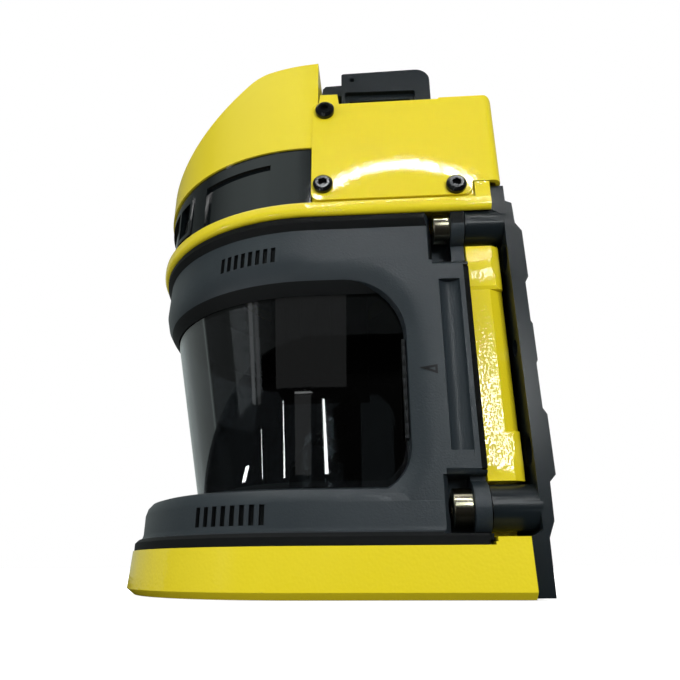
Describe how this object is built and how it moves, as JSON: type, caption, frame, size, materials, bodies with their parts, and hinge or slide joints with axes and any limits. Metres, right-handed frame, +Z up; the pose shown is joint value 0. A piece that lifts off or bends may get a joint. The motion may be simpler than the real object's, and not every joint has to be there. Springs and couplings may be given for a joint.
{
  "type": "safety laser scanner",
  "caption": "Compact safety laser scanner: yellow cast base and head, black front frame round a dark curved window, spinning mirror inside and a rear wall bracket.",
  "frame": {"origin": "on the underside of the base, straight below the mirror's spin axis", "axes": "+Z up along the spin axis, -Y towards the round front of the window, +Y towards the wall bracket, +X to the right-hand side seen from behind the wall"},
  "size_m": [0.1188, 0.1162, 0.1591],
  "materials": {
    "yellow_paint": "gloss powder paint with a fine orange peel",
    "frame_black": "moulded, fine spark texture",
    "bracket_black": "satin black paint",
    "band_gloss": "polished black polycarbonate",
    "window_smoke": "polished smoked polycarbonate",
    "black_screw": "black oxide",
    "nickel": "bright nickel plate",
    "zinc_screw": "zinc plate",
    "seal_rubber": "soft black rubber",
    "circuit_board": "solder mask",
    "optics_black": "matt black",
    "turned_aluminium": "turned",
    "mirror_coat": "front-coated glass",
    "lens_glass": "polished",
    "pin_gold": "gold flash"
  },
  "bodies": {
    "housing": {"base_housing": "yellow_paint", "bottom_plate": "frame_black", "bottom_screws": "zinc_screw", "head_housing": "yellow_paint", "head_bolts": "zinc_screw", "top_cap": "yellow_paint", "cap_screws": "zinc_screw", "camera_band": "band_gloss", "camera_right": "optics_black", "camera_left": "optics_black", "camera_board": "circuit_board", "rear_cover": "yellow_paint", "cover_screws_right": "black_screw", "cover_screws_left": "black_screw", "connector_block": "frame_black", "cable_sockets": "nickel", "socket_pins": "pin_gold", "window_frame": "frame_black", "scan_window": "window_smoke", "window_seal": "seal_rubber", "edge_strips": "seal_rubber", "side_seals": "seal_rubber", "clamp_screws": "nickel", "rear_bracket": "bracket_black", "bracket_screws": "zinc_screw", "rear_gasket": "seal_rubber", "motor_stator": "turned_aluminium", "lower_bearing": "nickel", "upper_bearing": "nickel", "encoder_sensor": "optics_black", "motor_board": "circuit_board", "optics_housing": "optics_black", "receiver_lens": "lens_glass", "laser_module": "nickel", "detector_board": "circuit_board", "main_board": "circuit_board", "power_board": "circuit_board", "board_posts": "zinc_screw"},
    "rotor": {"spindle": "turned_aluminium", "mirror_glass": "mirror_coat", "encoder_disc": "turned_aluminium"}
  },
  "joints": [
    {"name": "mirror_spin", "type": "hinge", "parent": "housing", "child": "rotor", "pos_m": [0, 0, 0.03], "axis": [0, 0, 1], "continuous": true}
  ]
}
